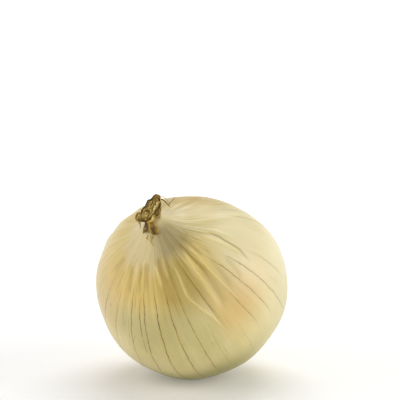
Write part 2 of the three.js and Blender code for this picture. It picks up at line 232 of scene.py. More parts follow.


# The skin's fine relief in millimetres, the painted highlight along its crests, and the painted
# shade, with a deeper colour, in its folds.
def fineRelief(colatitude, azimuth):
    ribs, gathers, calm, ring = (bulbForm[name] for name in ("ribs", "gathers", "calmGathers", "rootRing"))
    latitude = colatitude / degree
    sine = np.sin(colatitude)
    relief = ribs["height"] * sine**2 * np.cos(ribs["count"] * (azimuth - ribs["azimuth"] * degree))
    nearNeck = hump((latitude - gathers["middle"]) / gathers["spread"]) * sine
    broad, fine, uneven = (np.sin(count * azimuth) for count in gathers["counts"])
    calmed = 1 - calm["share"] * hump(wrapped(azimuth - calm["azimuth"] * degree) / (calm["reach"] * degree))
    relief = relief + gathers["height"] * nearNeck * 0.5 * (broad + fine * uneven) * calmed
    nearRoot = hump((latitude - ring["middle"]) / ring["spread"])
    crinkled = sum(np.sin(count * azimuth + phase) for phase, count in enumerate(ring["counts"]))
    relief = relief + ring["height"] * nearRoot * crinkled
    # The first is a painted highlight along the crests, the second painted shade and deeper colour in the
    # folds.
    light = 0 * relief
    dark = 0 * relief
    for course, height, width, paint in bulbForm["creases"]:
        trace = creaseTrace(course, width, colatitude, azimuth)
        relief = relief + height * trace
        light = np.maximum(light, trace * max(paint, 0))
        dark = np.maximum(dark, trace * max(-paint, 0))
    # Faint pleats are painted too: a highlight on their crests and shade in their troughs.
    for pleat in faintPleats():
        shape = 0.6 * pleatRelief(pleat, colatitude, azimuth)
        relief = relief + shape
        light = np.maximum(light, shape * 0.6)
        dark = np.maximum(dark, -shape * 0.9)
    return relief, light, dark


leanTowards = stance["heading"] * degree
leanAxis = Vector((-math.sin(leanTowards), math.cos(leanTowards), 0))
leaning = np.array(Matrix.Rotation(stance["lean"] * degree, 3, leanAxis))
middle = np.array(stance["middle"])
bulbTop = bulbForm["radius"] * bulbForm["tallness"]
neckTip = np.array([*bulbForm["neckBend"], bulbTop + bulbForm["neckRise"]])


# From the growth frame in millimetres to the row frame in metres, pressed flat where it would sink.
def settled(points):
    placed = np.asarray(points, float) @ leaning.T + middle
    placed[..., 2] = np.maximum(placed[..., 2], 0)
    return placed * millimetre


# One number or vector of every item of a mesh's list, such as the places of its vertices.
def readEach(items, name, kind, width=1):
    flat = np.empty(len(items) * width, kind)
    items.foreach_get(name, flat)
    return flat.reshape(-1, width) if width > 1 else flat


def meshFrom(build, name):
    mesh = bpy.data.meshes.new(name)
    build.to_mesh(mesh)
    build.free()
    return mesh


def addToScene(name, data):
    thing = bpy.data.objects.new(name, data)
    bpy.context.scene.collection.objects.link(thing)
    return thing


# A finished piece that stands for a node: it rides the root body and fills a material slot.
def addPiece(name, mesh, material, node):
    piece = addToScene(name, mesh)
    mesh.materials.append(material)
    mesh.shade_smooth()
    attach(piece, "root")
    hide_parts(node)


# A Math node as an operator, and its reflected form.
def operators(operation):
    return (
        lambda self, other: self.reckon(operation, self, other),
        lambda self, other: self.reckon(operation, other, self),
    )


# A Math node as a method.
def function(operation):
    return lambda self: self.reckon(operation, self)


# A socket that can be reckoned with: an expression adds its Math nodes to the tree.
class Field:
    def __init__(self, shade, socket):
        self.shade = shade
        self.socket = socket

    def reckon(self, operation, *values):
        return self.shade.node("Math", {"operation": operation}, *values)

    __add__, __radd__ = operators("ADD")
    __sub__, __rsub__ = operators("SUBTRACT")
    __mul__, __rmul__ = operators("MULTIPLY")
    __truediv__, __rtruediv__ = operators("DIVIDE")
    __mod__, __rmod__ = operators("FLOORED_MODULO")
    __abs__ = function("ABSOLUTE")
    sine = function("SINE")
    cosine = function("COSINE")
    root = function("SQRT")
    floor = function("FLOOR")

    # 0 at low, 1 at high, eased between; low may be the larger.
    def ease(self, low, high):
        return self.shade.node("MapRange", {"interpolation_type": "SMOOTHSTEP"}, self, low, high)


# A material and what it is made with; the shader's plain numbers are given by name, with _ for a space.
class Shade:
    def __init__(self, name, **shader):
        self.material = bpy.data.materials.new(name)
        self.material.use_nodes = True
        self.tree = self.material.node_tree
        self.shader = self.tree.nodes["Principled BSDF"]
        for socket, value in shader.items():
            self.set(socket.replace("_", " "), value)

    def feed(self, socket, value):
        if isinstance(value, Field):
            self.tree.links.new(value.socket, socket)
        elif value is not None:
            socket.default_value = value

    def set(self, socket, value):
        self.feed(self.shader.inputs[socket], value)

    # Any node: its kind, its settings, then its sockets' values or links in order or by name.
    def node(self, kind, settings=None, *values, out=0, **named):
        node = self.tree.nodes.new("ShaderNode" + kind)
        for key, value in (settings or {}).items():
            if key == "stops":
                self.setStops(node.color_ramp, value)
            elif key == "interpolation":
                node.color_ramp.interpolation = value
            else:
                setattr(node, key, value)
        for socket, value in zip(node.inputs, values):
            self.feed(socket, value)
        for key, value in named.items():
            self.feed(node.inputs[key.replace("_", " ")], value)
        if out == "all":
            return [Field(self, socket) for socket in node.outputs]
        return Field(self, node.outputs[out])

    def setStops(self, ramp, stops):
        while len(ramp.elements) < len(stops):
            ramp.elements.new(1.0)
        for element, (place, colour) in zip(ramp.elements, stops):
            element.position = place
            element.color = colour

    # The three numbers of a vector or a colour.
    def parts(self, value):
        return self.node("SeparateXYZ", None, value, out="all")

    def ramp(self, factor, stops):
        return self.node("ValToRGB", {"stops": [(place, tint(code)) for place, code in stops]}, factor)

    # Two colours mixed; the Mix node's colour sockets come after five that stay unused.
    def blend(self, factor, first, second):
        return self.node("Mix", {"data_type": "RGBA"}, factor, *[None] * 5, first, second, out=2)

    def attribute(self, name):
        return self.node("Attribute", {"attribute_name": name}, out="Fac")

    def noise(self, place, scale, detail, roughness):
        return self.node("TexNoise", None, Vector=place, Scale=scale, Detail=detail, Roughness=roughness)

    # A random number from 0 to 1 for each whole number.
    def draw(self, number):
        return self.node("TexWhiteNoise", {"noise_dimensions": "1D"}, W=number)

    def place(self, x, y, z):
        return self.node("CombineXYZ", None, x, y, z)

    def bump(self, height, strength, distance):
        return self.node("Bump", None, Strength=strength, Distance=distance, Height=height, out="Normal")


# A colour written as hexadecimal digits, made linear for a shader.
def tint(code):
    channels = [int(code[i : i + 2], 16) / 255 for i in (0, 2, 4)]
    linear = [c / 12.92 if c <= 0.04045 else ((c + 0.055) / 1.055) ** 2.4 for c in channels]
    return (*linear, 1.0)


# The skin's colours, how it shines, and its patterns. A patch is an azimuth and a reach round the bulb,
# the colatitudes between which it comes and those between which it goes, how strong it is and its
# colour. Streaks are noise drawn down the meridians: how fine it is round the bulb and how fine down
# it, detail and roughness. A vein is an azimuth, the colatitudes where it starts and fades, and its
# strength; the rest of the veins go round to the first again by rule.
skinLook = {
    "cream": "DFD09A",
    "yellow": "D6B75A",
    "pale": "ECD68C",
    "neckWhite": "D7C490",
    "neckGrey": "988A5A",
    "ochre": "B28E34",
    "olive": "AC9440",
    "peach": "DFB973",
    "honey": "BE943A",
    "straw": "C8A952",
    "blush": "D9A873",
    "root": "6B4A22",
    "green": "C9BC7E",
    "ivory": "F0E6BE",
    "moss": "A09654",
    "shadedGreen": "868130",
    "vein": "72520A",
    "dry": "9A8048",
    "roughness": (0.31, 0.14),
    "grain": {"strength": 0.3, "distance": 0.0005},
    "ink": {"veins": 0.95, "halo": 0.14, "neckLines": 0.5, "hairs": 0.35, "crackedHairs": 0.5},
    "coat": {"Coat_Weight": 0.06, "Coat_Roughness": 0.35},
    "depth": {"Subsurface_Weight": 0.1, "Subsurface_Radius": (1.0, 0.7, 0.3), "Subsurface_Scale": 0.003},
    "cracked": (-128, 48, (38, 48), (72, 58)),
    "patches": {
        "peach": (-46, 36, (40, 60), (86, 60), 0.62, "peach"),
        "honey": (-54, 24, (34, 48), (74, 60), 0.26, "honey"),
        "blush": (150, 70, (45, 80), (140, 100), 0.5, "blush"),
        # Ivory: partly the skin's paler colour and partly a painted highlight on the brighter flank.
        "ivory": (-4, 44, (20, 42), (120, 80), 0.5, "ivory"),
        # A painted shadow: the top of the shoulder painted a darker straw, as if shaded from above.
        "paintedTopShadow": (58, 32, (24, 33), (66, 42), 0.85, "straw"),
        "warmSide": (28, 22, (14, 24), (46, 32), 0.42, "straw"),
        "moss": (-132, 60, (36, 52), (72, 54), 0.48, "moss"),
        "underside": (-105, 75, (80, 100), (165, 130), 0.7, "shadedGreen"),
        "tanned": (-172, 36, (28, 40), (76, 52), 0.4, "peach"),
        "neckShade": (-62, 60, (3, 8), (26, 15), 0.8, "neckGrey"),
    },
    "streaks": {
        "fibre": (22.0, 5.0, 4.0, 0.65),
        "fineFibre": (70.0, 9.0, 3.0, 0.6),
        "jagged": (4.0, 46.0, 3.0, 0.7),
        "broken": (9.0, 60.0, 3.0, 0.7),
        "drift": (5.0, 6.0, 3.0, 0.6),
        "hairRun": (30.0, 22.0, 2.0, 0.6),
        "band": (2.6, 1.3, 3.0, 0.55),
        "narrow": (11.0, 1.7, 3.0, 0.6),
    },
    "veinCount": 35,
    "veins": [
        (-171, 34, 78, 0.45),
        (-156, 29, 124, 0.75),
        (-141, 28, 150, 0.65),
        (-134.5, 27, 66, 0.6),
        (-127.5, 26, 150, 0.85),
        (-115.5, 25, 158, 0.9),
        (-105, 24, 160, 1.0),
        (-95, 26, 152, 0.9),
        (-85, 26, 146, 0.75),
        (-77, 60, 120, 0.45),
        (-68.8, 19, 72, 0.85),
        (-61.5, 62, 126, 0.35),
        (-52, 44, 86, 0.7),
        (-41, 26, 90, 0.85),
        (-31.5, 34, 112, 0.75),
        (-18, 50, 92, 0.55),
        (-6, 66, 90, 0.35),
        (4, 50, 74, 0.4),
    ],
}


# The azimuths of all the veins: the main ones, then even steps round to the first.
def veinAzimuths():
    known = [vein[0] for vein in skinLook["veins"]]
    first, last = known[0] + 360, known[-1]
    left = skinLook["veinCount"] - len(known)
    return known + [last + (first - last) * (i + 1) / (left + 1) for i in range(left)] + [first]


# How far round the veins an azimuth is, from 0 at the first vein to 1 there again.
def veinTurn(azimuth):
    knots = veinAzimuths()
    bearing = (azimuth / degree - knots[0]) % 360 + knots[0]
    return np.interp(bearing, knots, np.linspace(0, 1, len(knots)))


# The skin's material. Its patterns are reckoned from the skin map: u goes round the veins, and v down
# from neck to root.
class OnionSkin(Shade):
    def __init__(self):
        super().__init__("onionSkin", **skinLook["coat"], **skinLook["depth"])
        self.u, self.v = self.parts(self.node("UVMap", {"uv_map": "skin"}))[:2]
        self.spin = self.u * (2 * math.pi)
        self.latitude = self.v * 180.0
        self.sine = (self.v * math.pi).sine()
        self.east = self.spin.cosine()
        self.north = self.spin.sine()
        ball = self.place(self.east * self.sine, self.north * self.sine, (self.v * math.pi).cosine())
        self.cloud = self.noise(ball, 1.6, 2.0, 0.5)
        self.mottle = self.noise(ball, 7.0, 3.0, 0.6)
        self.fibre = self.streaks("fibre")
        self.fineFibre = self.streaks("fineFibre")
        self.feathered = self.ragged(22.0, 10.0)
        self.drift = (self.streaks("drift") - 0.5) * 1.4
        self.cracked = self.patch(*skinLook["cracked"])
        self.colour = self.blend(self.cloud.ease(0.35, 0.7), tint(skinLook["cream"]), tint(skinLook["green"]))

    def streaks(self, name):
        around, down, detail, roughness = skinLook["streaks"][name]
        place = self.place(self.east * around, self.north * around, self.v * down)
        return self.noise(place, 1.0, detail, roughness)

    # How near an azimuth in degrees a place is: 1 there, 0 beyond the reach.
    def beside(self, bearing, reach):
        turned = float(veinTurn(bearing * degree)) * 2 * math.pi
        return (self.spin - turned).cosine().ease(math.cos(reach * degree), 1.0)

    # The latitude, which the fibres shift, so that a border lies ragged along them.
    def ragged(self, coarse, fine):
        return self.latitude + (self.fibre - 0.5) * coarse + (self.fineFibre - 0.5) * fine

    def paint(self, amount, name):
        self.colour = self.blend(amount, self.colour, tint(skinLook[name]))

    def patch(self, bearing, reach, comes, goes):
        return self.beside(bearing, reach) * self.latitude.ease(*comes) * self.latitude.ease(*goes)

    def paintPatch(self, name, share=1.0):
        *limits, amount, colour = skinLook["patches"][name]
        self.paint(self.patch(*limits) * (amount * share), colour)

    # Lines down the meridians: the number of the nearest, and how many millimetres off it is.
    def nearestLine(self, count, sway):
        phase = self.u * count + sway
        cell = (phase + 0.5).floor()
        gap = abs(phase - cell) * (2 * math.pi * bulbForm["radius"] / count) * self.sine
        return cell % count, gap

    # Where each vein starts and ends and how strong it is, as shares of the way from neck to root: the
    # main ones from a ramp with a stop for each, the others drawn.
    def veinTable(self, index):
        main = skinLook["veins"]
        slots = 32  # a ramp holds no more stops
        stops = [
            ((i + 0.5) / slots, (start / 180, end / 180, strength, 1))
            for i, (azimuth, start, end, strength) in enumerate(main)
        ]
        known = self.node("ValToRGB", {"stops": stops, "interpolation": "CONSTANT"}, (index + 0.75) / slots)
        start, end, strength = self.parts(known)
        other = (index - (len(main) - 0.5)).ease(0.0, 0.1)
        draw = self.draw(index + 0.37)
        start = start + other * (self.draw(index + 81.73) * 0.1 + 0.17 - start)
        end = end + other * (0.92 - draw * 0.35 - end)
        strength = strength + other * (0.4 + 0.5 * draw - strength)
        return start, end, strength

    # Veins wander a little and break here and there: how dark each is, and the halo round it.
    def veinInk(self):
        wide = self.place(self.east * self.sine * 3.0, self.north * self.sine * 3.0, self.v * 7.0)
        wander = (self.noise(wide, 1.0, 4.0, 0.65) - 0.5) * 0.3
        jagged = (self.streaks("jagged") - 0.5) * 0.13
        index, gap = self.nearestLine(skinLook["veinCount"], wander + jagged)
        start, end, strength = self.veinTable(index)
        run = self.v.ease(start, start + 0.09) * self.v.ease(end, end - 0.12) * strength
        width = strength * 0.06 + 0.07 + self.cracked * 0.04
        broken = self.streaks("broken").ease(0.3, 0.62) * 0.6 + 0.4
        return gap.ease(width * 2.0, width * 0.6) * run * broken, gap.ease(1.3, 0.1) * run

    # Hairs: finer broken lines between the veins, fewer on the smooth side.
    def hairs(self):
        index, gap = self.nearestLine(skinLook["veinCount"] * 4, self.drift)
        run = self.streaks("hairRun").ease(0.52, 0.66)
        hairs = gap.ease(0.3, 0.1) * run * self.draw(index).ease(0.3, 0.9)
        hairs = hairs * self.latitude.ease(12.0, 30.0) * self.latitude.ease(168.0, 100.0)
        return hairs * (1.0 - 0.65 * self.beside(-20, 80))

    # Fine lines where the skin is drawn in to the neck.
    def neckLines(self):
        index, gap = self.nearestLine(skinLook["veinCount"] * 3, self.drift * 0.4)
        lines = gap.ease(0.22, 0.07) * self.draw(index).ease(0.25, 0.8)
        return lines * self.patch(-60, 80, (6.5, 10.0), (34.0, 18.0))

    # Yellow and ochre where the neck widens, green towards the root.
    def paintShoulder(self):
        upper = self.feathered.ease(51.0, 33.0)
        self.paint(upper * (0.7 - 0.6 * self.beside(16, 60)), "yellow")
        self.paint(self.fibre.ease(0.45, 0.75) * 0.4, "pale")
        warm = upper * self.beside(-124, 56) * self.feathered.ease(18.0, 29.0)
        self.paint(warm * (0.35 + 0.65 * self.fineFibre.ease(0.35, 0.65)), "yellow")
        self.paint(warm * self.fibre.ease(0.5, 0.3) * 0.8, "ochre")
        # The olive over the front of the shoulder is partly the skin's colour and partly painted shade.
        olive = self.beside(-78, 32) * self.feathered.ease(17.0, 26.0) * self.latitude.ease(58.0, 38.0)
        self.paint(olive * 0.75, "olive")
        self.paintPatch("peach")
        self.paintPatch("honey")
        self.paint(self.latitude.ease(60.0, 110.0) * 0.7, "green")

    # Out of the front, broad bands run from neck to root, and the far side has a blush.
    def paintBands(self):
        away = (1.0 - 0.85 * self.beside(-75, 120)) * (1.0 - 0.7 * self.beside(2, 32))
        band = self.streaks("band")
        narrow = self.streaks("narrow")
        self.paint(band.ease(0.52, 0.68) * away * 0.6, "yellow")
        self.paint(band.ease(0.46, 0.3) * away * 0.5, "moss")
        self.paint(narrow.ease(0.55, 0.7) * away * 0.35, "ochre")
        self.paint(narrow.ease(0.45, 0.3) * away * 0.4, "ivory")
        self.paintPatch("blush", self.cloud.ease(0.35, 0.6))

    # The neck is whitish with grey streaks, and grey where it turns from the light.
    def paintNeck(self):
        reach = self.beside(-130, 60) * 6.0 + 17.0
        self.paint(self.feathered.ease(reach + 5.0, reach - 4.0) * 0.85, "neckWhite")
        streak = self.fibre.ease(0.46, 0.3) * self.latitude.ease(38.0, 16.0) * self.latitude.ease(4.0, 9.0)
        self.paint(streak * 0.35, "neckGrey")
        self.paintPatch("neckShade")

    # Crests get a painted highlight, and folds painted shade in the olive and ochre of their deeper colour.
    def paintCreases(self):
        shaded = self.blend(self.beside(-115, 40), tint(skinLook["olive"]), tint(skinLook["ochre"]))
        self.colour = self.blend(self.attribute("dark") * 0.8, self.colour, shaded)
        self.paint(self.attribute("light") * 0.8, "pale")
        self.paint(self.fineFibre.ease(0.58, 0.8) * 0.25, "ochre")
        self.paint(self.mottle.ease(0.6, 0.8) * 0.2, "pale")

    # The skin is dry and brown at both ends.
    def paintEnds(self):
        self.paint(self.latitude.ease(5.0, 2.5) * 0.7, "dry")
        rooted = self.ragged(16.0, 12.0)
        self.paint(rooted.ease(154.0, 168.0) * 0.6, "dry")
        self.paint(rooted.ease(164.0, 170.0) * 0.75, "root")

    def finish(self):
        ink, halo = self.veinInk()
        hairs = self.hairs()
        self.paintShoulder()
        self.paintBands()
        # The straw patch on the top of the shoulder is a painted shadow.
        for name in ("ivory", "paintedTopShadow", "warmSide", "moss", "underside", "tanned"):
            self.paintPatch(name)
        self.paintNeck()
        self.paintCreases()
        self.paintEnds()
        inks = skinLook["ink"]
        self.paint(halo * inks["halo"], "ochre")
        self.paint(hairs * (inks["hairs"] + inks["crackedHairs"] * self.cracked), "vein")
        self.paint(self.neckLines() * inks["neckLines"], "vein")
        self.paint(ink * inks["veins"], "vein")
        self.set("Base Color", self.colour)
        smoothest, rougher = skinLook["roughness"]
        self.set("Roughness", self.fibre * rougher + smoothest)
        grain = self.fibre * 0.5 + self.fineFibre * 0.3 - halo * 0.4 - hairs * 0.3
        self.set("Normal", self.bump(grain, **skinLook["grain"]))
        return self.material


# A ball of even rows and columns, drawn closer together at the poles and at the side with the pleats.
def makeBall():
    size = bulbForm["mesh"]
    build = bmesh.new()
    bmesh.ops.create_uvsphere(build, u_segments=size["around"], v_segments=size["rows"], radius=1.0)
    mesh = meshFrom(build, "onionSkin")
    ball = readEach(mesh.vertices, "co", np.float64, 3)
    share = np.arccos(np.clip(ball[:, 2], -1, 1)) / math.pi
    colatitude = math.pi * (share - size["poleCrowding"] * np.sin(2 * math.pi * share))
    even = np.arctan2(ball[:, 1], ball[:, 0])
    azimuth = even - size["pleatCrowding"] * np.sin(even - size["pleatAzimuth"] * degree)
    return mesh, colatitude, azimuth


# The skin map: how far round the veins, and how far from neck to root. A face that crosses the first
# vein goes on past 1, and a corner at a pole lies midway between the face's other corners.
def mapSkin(mesh, colatitude, azimuth):
    corners = readEach(mesh.loops, "vertex_index", np.int32)
    totals = readEach(mesh.polygons, "loop_total", np.int32)
    face = np.repeat(np.arange(len(totals)), totals)
    turns = veinTurn(azimuth)[corners]
    pole = np.sin(colatitude[corners]) < 1e-4
    faces = face[~pole]
    low = np.full(len(totals), np.inf)
    high = -low
    np.minimum.at(low, faces, turns[~pole])
    np.maximum.at(high, faces, turns[~pole])
    turns = turns + ((high - low > 0.5)[face] & (turns < 0.5))
    midway = np.bincount(faces, turns[~pole]) / np.bincount(faces)
    turns = np.where(pole, midway[face], turns)
    pairs = np.stack([turns, (colatitude / math.pi)[corners]], axis=-1)
    mesh.uv_layers.new(name="skin").data.foreach_set("uv", pairs.astype(np.float32).ravel())


def makeBulb():
    mesh, colatitude, azimuth = makeBall()
    relief, light, dark = fineRelief(colatitude, azimuth)
    places = settled(skinPlace(colatitude, azimuth, relief))
    mesh.vertices.foreach_set("co", places.astype(np.float32).ravel())
    mesh.update()
    # The painted highlight of the crests and the painted shade of the folds go on as point attributes.
    for name, values in (("light", light), ("dark", dark)):
        mesh.attributes.new(name, "FLOAT", "POINT").data.foreach_set("value", values.astype(np.float32))
    mapSkin(mesh, colatitude, azimuth)
    addPiece("onionBulb", mesh, OnionSkin().finish(), "bulb")


makeBulb()
print("bulb made")

# The withered neck in millimetres and degrees: an oval tuft of papery walls, turned round the growth
# axis and set on the tip of the bulb's neck.
neckForm = {
    "turned": 43,
    "centre": (-0.2, 1.45),
    "square": 2.8,
    "tilt": 0.16,
    "waist": (0.34, -4.5, 3.0),
    "foot": -4.5,
    "paper": 0.13,
    "mesh": {"bed": (84, 34), "wall": (120, 18), "sheet": (44, 20), "flap": (60, 34)},
    "bed": {  # the folded papers inside; a pit is along, across, half length, half width, depth
        "halfLength": 6.0,
        "halfWidth": 2.75,
        "height": 2.1,
        "fold": 1.25,
        "foldHeight": 0.75,
        "pits": [
            (-1.1, 0.6, 0.8, 0.5, 2.2),
            (2.2, -0.1, 2.2, 0.28, 1.5),
            (-2.2, -0.9, 1.3, 0.3, 1.2),
            (3.4, 1.3, 1.8, 0.25, 1.2),
        ],
    },
    "walls": [  # from outside in: half length, half width, rim, how much it flares, how deep it folds
        (6.4, 3.0, 2.7, 0.4, 0.07),
        (5.5, 2.35, 2.9, 0.3, 0.10),
        (4.4, 1.5, 3.0, 0.3, 0.14),
    ],
    "sheets": [  # from and to along the tuft, across it, foot, top, curl
        (-1.0, 6.0, -1.55, 0.6, 3.4, -1.15),
        (-0.8, 5.4, 0.35, 0.8, 3.3, -0.75),
        (0.8, 5.2, 1.4, 0.8, 3.1, -0.6),
        (-5.4, -0.6, 1.3, 0.4, 2.9, -0.9),
        (-5.6, -1.4, 0.0, 0.4, 2.9, -0.95),
        (-4.6, 0.4, -1.3, 0.4, 2.8, -0.8),
    ],
    "flap": {  # a corner's distance from the growth axis in degrees, as x and y parts
        "topLeft": (-4.8, 0.4),
        "topRight": (-0.2, -1.8),
        "bottomLeft": (-6.1, -4.5),
        "bottomRight": (2.3, -8.35),
        "bow": 0.7,
        "lift": 0.8,
        "curl": 1.2,
    },
    "looseEnds": [  # radius, tip radius, flatness and tone, then points from the tip of the neck
        (0.95, 0.7, 0.4, 0.56, (-4.6, 1.7, 1.4), (-6.0, 2.5, 1.1), (-7.3, 1.9, 0.5), (-7.7, 0.8, -0.3),
         (-6.9, 0.0, -0.8), (-5.9, 0.3, -0.3)),
        (0.9, 0.6, 0.4, 0.6, (-4.4, 0.3, 1.2), (-5.7, 0.6, 0.9), (-6.7, 0.9, 0.1), (-7.0, 0.0, -1.1),
         (-6.2, -0.9, -1.4)),
        (0.8, 0.5, 0.4, 0.5, (-4.2, -1.3, 0.8), (-5.5, -1.4, 0.4), (-6.6, -1.2, -0.7), (-6.5, -1.9, -1.8)),
        (0.7, 0.5, 0.45, 0.55, (-5.0, 2.6, 1.2), (-6.4, 3.0, 0.4), (-6.9, 2.2, -0.4), (-6.0, 1.6, -0.4)),
        (0.3, 0.2, 0.5, 0.2, (-6.4, -0.8, -1.2), (-7.0, -1.6, -2.4), (-7.5, -1.7, -3.7)),
        (0.62, 0.4, 0.35, 0.6, (3.2, 0.6, 1.7), (3.5, -0.5, 1.4), (2.8, -1.5, 0.4), (1.7, -1.9, 0.1),
         (0.9, -1.4, 0.5)),
        (0.6, 0.3, 0.35, 0.42, (0.4, -0.8, 1.4), (0.9, -1.9, 1.0), (1.9, -2.5, 0.0), (2.8, -2.0, -0.7)),
        (0.6, 0.35, 0.35, 0.7, (-1.8, -1.1, 1.1), (-0.9, -2.0, 0.8), (0.1, -2.3, 0.3), (0.9, -2.8, -0.5)),
        (0.5, 0.3, 0.4, 0.3, (2.2, -0.4, 1.2), (2.6, -1.4, 0.2), (2.3, -2.4, -0.9)),
        (0.55, 0.3, 0.35, 0.55, (-3.4, -1.8, 0.9), (-2.4, -2.4, 0.2), (-1.2, -2.7, -0.3), (-0.2, -3.2, -1.2)),
        (0.4, 0.2, 0.6, 0.08, (3.6, 4.2, 1.6), (4.9, 4.4, 3.0), (6.0, 4.1, 1.9), (6.5, 3.8, 0.1),
         (7.1, 3.2, -2.9)),
        (0.2, 0.14, 0.8, 0.1, (6.85, 3.5, -1.7), (7.5, 3.5, -0.8), (9.1, 4.1, -0.1), (11.0, 5.0, 0.3)),
        (0.22, 0.16, 0.8, 0.95, (4.7, 4.3, 2.6), (5.4, 5.6, 3.2), (6.5, 5.4, 1.8), (7.4, 4.2, 0.2),
         (7.2, 3.4, -1.6)),
    ],
    "threadShape": (0.4, 0.2, 0.55, 0.34),  # radius, tip radius, flatness, tone
    "threads": [  # from and to a place on the skin by azimuth and colatitude, how fresh
        ((-127, 6.4), (-122, 9.8), 0.2),
        ((-117, 6.6), (-109, 12.4), 1.0),
        ((-120, 6.8), (-117, 10.6), 1.0),
        ((-108, 7.0), (-112, 11.6), 0.9),
        ((-103, 7.2), (-106, 9.6), 0.25),
        ((-101, 8.0), (-86, 8.9), 0.95),
        ((-139, 5.6), (-146, 8.4), 0.4),
    ],
    "tones": [(0.0, "402C02"), (0.18, "6B500C"), (0.38, "9C7E2E"), (0.62, "C4A552"), (1.0, "E0CA82")],
    "fibre": "785C1E",
    "fresh": "F2DF9C",
}


# A place in the tuft's own oval, narrowed below its mouth, turned and set on the tip of the neck.
def tuftPlace(along, across, height):
    form = neckForm
    turn = form["turned"] * degree
    waist, low, mouth = form["waist"]
    share = blendTo(waist, 1, ease(height, low, mouth))
    along = along * share
    across = across * (1 + share) / 2
    x = neckTip[0] + form["centre"][0] * share + along * np.cos(turn) - across * np.sin(turn)
    y = neckTip[1] + form["centre"][1] * share + along * np.sin(turn) + across * np.cos(turn)
    return np.stack([x, y, neckTip[2] + height], axis=-1)


# An oval with square shoulders: how far its edge is at each turn, along and across.
def ovalPlace(turn, halfLength, halfWidth, share, beyond=0.0):
    power = neckForm["square"]
    edge = np.abs(np.cos(turn) / halfLength) ** power + np.abs(np.sin(turn) / halfWidth) ** power
    reach = edge ** (-1 / power) * share + beyond
    return reach * np.cos(turn), reach * np.sin(turn)


# Soft noise from about -1 to 1 at many places, each given by its three numbers.
def softNoise(x, y, z, seed):
    shift = Vector((seed * 7.3, seed * 3.1, seed * 5.7))
    places = np.stack(np.broadcast_arrays(x, y, z), axis=-1).astype(float)
    return np.array([noise.noise(Vector(place) + shift) for place in places])


paperValues = ("tone", "fresh", "across", "along")  # what the materials of papers and roots read


# A sheet from a grid: the rule turns its two shares into places, a tone that in places holds painted
# shade, and how fresh it still is.
def addSheet(build, across, along, rule, thickness=0.0):
    verts = bmesh.ops.create_grid(build, x_segments=across, y_segments=along, size=1.0)["verts"]
    u = np.array([vert.co.x for vert in verts]) * 0.5 + 0.5
    v = np.array([vert.co.y for vert in verts]) * 0.5 + 0.5
    places, tone, fresh = rule(u, v)
    layers = [build.verts.layers.float.get(name) for name in paperValues]
    values = np.stack(np.broadcast_arrays(tone, fresh, u, v), axis=-1)
    for vert, place, row in zip(verts, settled(places), values):
        vert.co = place
        for layer, value in zip(layers, row):
            vert[layer] = float(value)
    bmesh.ops.remove_doubles(build, verts=verts, dist=1e-6)
    kept = [vert for vert in verts if vert.is_valid]
    faces = list({face for vert in kept for face in vert.link_faces})
    bmesh.ops.recalc_face_normals(build, faces=faces)
    if thickness:
        bmesh.ops.solidify(build, geom=faces, thickness=thickness * millimetre)


# A mesh in the making whose vertices carry those values.
def startPaper():
    build = bmesh.new()
    for name in paperValues:
        build.verts.layers.float.new(name)
    return build


# A strand along a course: its section is an oval that tapers to closed ends.
def addStrand(build, points, radius, tip, flat, tone, fresh=0.0, sides=6, steps=9):
    def rule(u, v):
        centre = courseThrough(points, v)
        ahead = courseThrough(points, v + 0.01) - courseThrough(points, v - 0.01)
        ahead /= np.linalg.norm(ahead, axis=1, keepdims=True) + 1e-9
        side = np.cross(ahead, np.array([0.31, -0.22, 0.93]))
        side /= np.linalg.norm(side, axis=1, keepdims=True) + 1e-9
        up = np.cross(side, ahead)
        turn = 2 * math.pi * u
        body = np.sqrt(np.clip(1 - (2 * v - 1) ** 8, 0, 1)) * blendTo(radius, tip, v)
        places = centre + side * (np.sin(turn) * body * flat)[:, None] + up * (np.cos(turn) * body)[:, None]
        return places, tone, fresh

    addSheet(build, sides, steps, rule)


def paperShade():
    shade = Shade("driedSheath", Subsurface_Weight=0.05, Subsurface_Scale=0.001)
    tone, fresh, across = (shade.attribute(name) for name in ("tone", "fresh", "across"))
    place = shade.node("TexCoord", out="Object")
    grain = shade.noise(place, 1100.0, 4.0, 0.65)
    spots = shade.noise(place, 330.0, 3.0, 0.6)
    fibre = (across * 75.0 + grain * 5.0).sine() * 0.5 + 0.5
    # The tone, which in the tuft also carries painted shade and painted highlight, picks a colour from the
    # ramp.
    colour = shade.ramp(tone + (spots - 0.5) * 0.45 + (grain - 0.5) * 0.3, neckForm["tones"])
    colour = shade.blend(fibre * 0.2, colour, tint(neckForm["fibre"]))
    shade.set("Base Color", shade.blend(fresh, colour, tint(neckForm["fresh"])))
    shade.set("Roughness", grain * 0.3 + 0.5)
    shade.set("Normal", shade.bump(fibre * 0.4 + spots, 0.5, 0.0003))
    return shade.material


# The bed of folded papers between the walls, with pits, drawn down at its rim.
def bedRule(u, v):
    size = neckForm["bed"]
    along, over = ovalPlace(2 * math.pi * u, size["halfLength"], size["halfWidth"], v)
    wander = softNoise(along * 0.32, over * 0.3, 0, 21)
    rough = softNoise(along * 0.9, over * 1.6, 0, 23)
    fold = np.abs(np.sin(math.pi * (over + 1.3 * wander) / size["fold"]))
    pit = 0
    for pitAlong, pitOver, halfLength, halfWidth, depth in size["pits"]:
        pit = pit + depth * hump(np.hypot((along - pitAlong) / halfLength, (over - pitOver) / halfWidth))
    height = size["height"] + neckForm["tilt"] * along + size["foldHeight"] * fold + 0.5 * rough - pit
    height = height - 5.0 * ease(v, 0.82, 1.0) ** 2
    # The bed's tone follows its height: painted highlight on fold ridges and lumps, painted shade in the
    # pits.
    return tuftPlace(along, over, height), 0.2 + 0.55 * fold + 0.5 * rough - 0.5 * pit, 0


